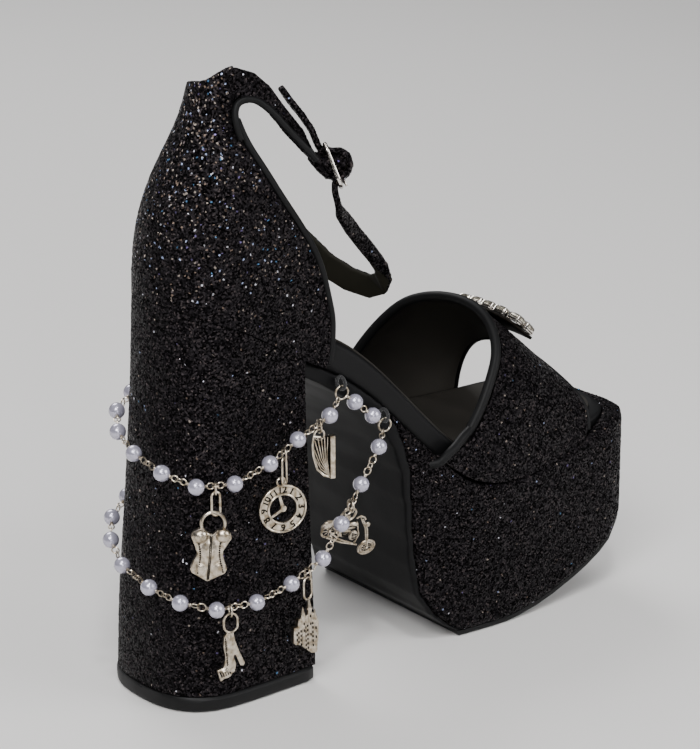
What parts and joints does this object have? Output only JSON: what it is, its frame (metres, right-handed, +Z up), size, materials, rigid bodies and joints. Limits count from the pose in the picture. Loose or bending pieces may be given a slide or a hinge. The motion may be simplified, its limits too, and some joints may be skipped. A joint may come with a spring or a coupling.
{
  "type": "high heel shoe",
  "caption": "Right open-toe platform sandal with a tall block heel, closed heel, buckled ankle strap, crystal brooch and pearl chains with small charms.",
  "frame": {"origin": "on the floor, at the middle of the heel's top piece", "axes": "+X to the toe, +Y to the inner side of the foot, +Z up"},
  "size_m": [0.2181, 0.0906, 0.227],
  "materials": {
    "black_glitter": "black cloth covered with loose glitter flakes",
    "strap_glitter": "black glitter cloth on a dark olive leather lining",
    "black_leather": "smooth satin black leather",
    "sock_leather": "plain dark lining leather",
    "black_rubber": "hard black sole rubber",
    "crystal": "clear faceted stones",
    "pearl": "white imitation pearl, strung on silver wire",
    "stitched_cord": "black sewing thread",
    "buckle_metal": "polished silver tone",
    "aged_silver": "cast, slightly tarnished silver tone"
  },
  "bodies": {
    "shoe": {"arch_cover": "black_leather", "brooch_plate": "aged_silver", "brooch_stone_1_1": "crystal", "brooch_stone_1_2": "crystal", "brooch_stone_1_3": "crystal", "brooch_stone_1_4": "crystal", "brooch_stone_1_5": "crystal", "brooch_stone_2_1": "crystal", "brooch_stone_2_2": "crystal", "brooch_stone_2_3": "crystal", "brooch_stone_2_4": "crystal", "brooch_stone_2_5": "crystal", "buckle_frame": "buckle_metal", "buckle_prong": "buckle_metal", "chain_arch_left": "pearl", "chain_arch_right": "pearl", "chain_loop_front_left": "stitched_cord", "chain_loop_front_right": "stitched_cord", "chain_loop_rear_left": "stitched_cord", "chain_loop_rear_right": "stitched_cord", "chain_lower": "pearl", "chain_ring_front_left": "aged_silver", "chain_ring_front_right": "aged_silver", "chain_ring_rear_left": "aged_silver", "chain_ring_rear_right": "aged_silver", "chain_upper": "pearl", "counter_binding_left": "black_leather", "counter_binding_right": "black_leather", "heel_block": "black_glitter", "heel_counter": "black_glitter", "heel_top_piece": "black_rubber", "insole_board": "black_leather", "outsole": "black_rubber", "platform": "black_glitter", "sock_lining": "sock_leather", "strap_long": "strap_glitter", "strap_short": "strap_glitter", "vamp": "black_glitter", "vamp_front_binding": "black_leather", "vamp_rear_piping": "black_leather"},
    "fan": {"charm_fan": "aged_silver", "charm_fan_ring": "aged_silver"},
    "clock": {"charm_clock": "aged_silver", "charm_clock_ring": "aged_silver"},
    "corset": {"charm_corset": "aged_silver", "charm_corset_ring": "aged_silver"},
    "motorcycle": {"charm_motorcycle": "aged_silver", "charm_motorcycle_ring": "aged_silver"},
    "house": {"charm_house": "aged_silver", "charm_house_ring": "aged_silver"},
    "pump": {"charm_pump": "aged_silver", "charm_pump_ring": "aged_silver"}
  },
  "joints": [
    {"name": "fan_swing", "type": "hinge", "parent": "shoe", "child": "fan", "pos_m": [0.03001, -0.0297, 0.0977], "axis": [-0.9511, 0.309, 0], "range_deg": [0, 60]},
    {"name": "clock_swing", "type": "hinge", "parent": "shoe", "child": "clock", "pos_m": [0.01319, -0.03074, 0.0914], "axis": [-0.9511, 0.309, 0], "range_deg": [0, 60]},
    {"name": "corset_swing", "type": "hinge", "parent": "shoe", "child": "corset", "pos_m": [-0.01429, -0.02713, 0.08431], "axis": [-0.829, 0.5592, 0], "range_deg": [0, 60]},
    {"name": "motorcycle_swing", "type": "hinge", "parent": "shoe", "child": "motorcycle", "pos_m": [0.04124, -0.0338, 0.06594], "axis": [0.9781, -0.2079, 0], "range_deg": [0, 45]},
    {"name": "house_swing", "type": "hinge", "parent": "shoe", "child": "house", "pos_m": [0.02186, -0.03273, 0.0445], "axis": [-0.9903, 0.1392, 0], "range_deg": [0, 60]},
    {"name": "pump_swing", "type": "hinge", "parent": "shoe", "child": "pump", "pos_m": [-0.01126, -0.0306, 0.03886], "axis": [-0.9135, 0.4067, 0], "range_deg": [0, 60]}
  ]
}
